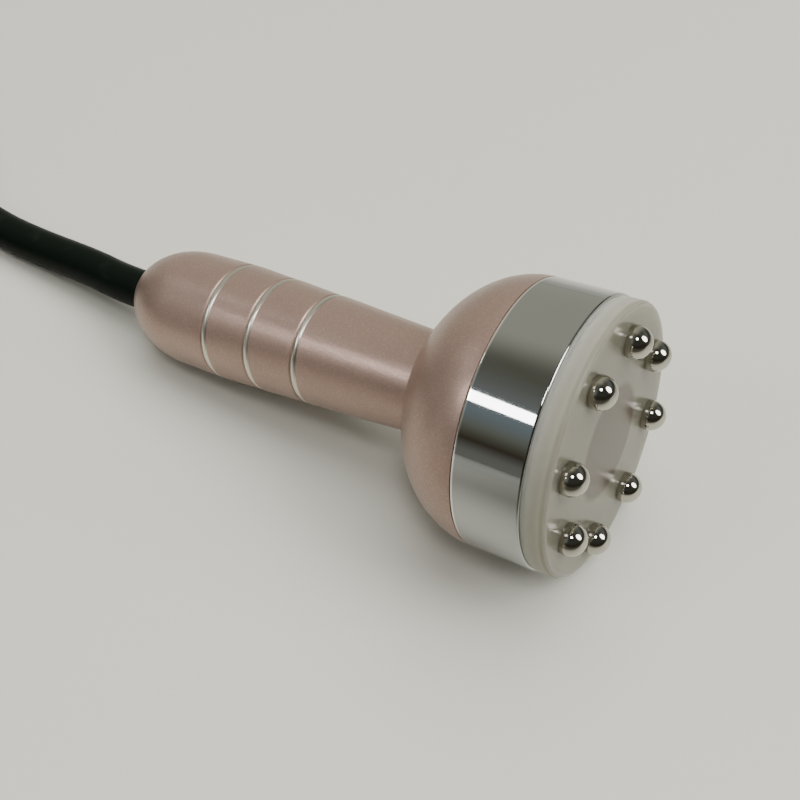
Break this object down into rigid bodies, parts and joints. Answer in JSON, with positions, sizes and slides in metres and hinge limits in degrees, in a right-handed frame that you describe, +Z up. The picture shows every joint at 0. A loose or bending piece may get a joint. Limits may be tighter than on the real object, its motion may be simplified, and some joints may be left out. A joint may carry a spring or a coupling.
{
  "type": "body slimming machine handpiece",
  "caption": "Hand-held round treatment head with ball electrodes on a tapered handle, with its coiled cable and a circular screw-on plug.",
  "frame": {"origin": "on the table, under the middle of the handpiece as it lies on its bell and its tail", "axes": "+Z up from the table, +X along the handpiece towards its electrode face"},
  "size_m": [0.3418, 0.1367, 0.0643],
  "materials": {
    "rose_gold": "satin, fine sparkle",
    "bright_chrome": "mirror",
    "satin_aluminium": "satin, anodised",
    "grey_silicone": "matt",
    "frosted_acrylic": "polished, milky",
    "black_rubber": "matt",
    "cable_jacket": "smooth, slightly glossy",
    "bare_aluminium": "turned",
    "plated_steel": "zinc plated",
    "bare_brass": "turned",
    "board_laminate": "lacquered glass-fibre laminate",
    "clear_lens": "clear",
    "white_nylon": "moulded",
    "wire_insulation": "extruded",
    "plug_nickel": "nickel plated",
    "insert_black": "moulded"
  },
  "bodies": {
    "handpiece": {"head_bell": "rose_gold", "handle_sleeve_front": "rose_gold", "handle_sleeve_middle": "rose_gold", "handle_sleeve_rear": "rose_gold", "tail_cap": "rose_gold", "chrome_band": "bright_chrome", "electrode_1": "bright_chrome", "electrode_2": "bright_chrome", "electrode_3": "bright_chrome", "electrode_4": "bright_chrome", "electrode_5": "bright_chrome", "electrode_6": "bright_chrome", "electrode_7": "bright_chrome", "electrode_8": "bright_chrome", "trim_ring_front": "satin_aluminium", "trim_ring_middle": "satin_aluminium", "trim_ring_rear": "satin_aluminium", "face_plate": "frosted_acrylic", "face_gasket": "grey_silicone", "cable_bush": "black_rubber", "plug_grommet": "black_rubber", "cable": "cable_jacket", "cable_coil": "cable_jacket", "cable_to_plug": "cable_jacket", "cable_inner_end": "cable_jacket", "core_tube": "bare_aluminium", "head_ring": "bare_aluminium", "bell_lock_nut": "plated_steel", "bell_lock_washer": "plated_steel", "bush_washer": "plated_steel", "cable_ferrule": "plated_steel", "electrode_nuts": "plated_steel", "electrode_washers": "plated_steel", "face_screws": "plated_steel", "plug_clip": "plated_steel", "face_spacers": "bare_brass", "plug_contacts": "bare_brass", "electrode_board": "board_laminate", "face_lamps": "clear_lens", "board_header": "white_nylon", "harness_plug": "white_nylon", "harness_wires": "wire_insulation", "plug_gland_nut": "plug_nickel", "plug_shell": "plug_nickel", "plug_insert": "insert_black"},
    "coupling_nut": {"coupling_nut": "plug_nickel"}
  },
  "joints": [
    {"name": "coupling_nut_turn", "type": "hinge", "parent": "handpiece", "child": "coupling_nut", "pos_m": [-0.11552, -0.0933, 0.0124], "axis": [1, 0, 0], "continuous": true}
  ]
}
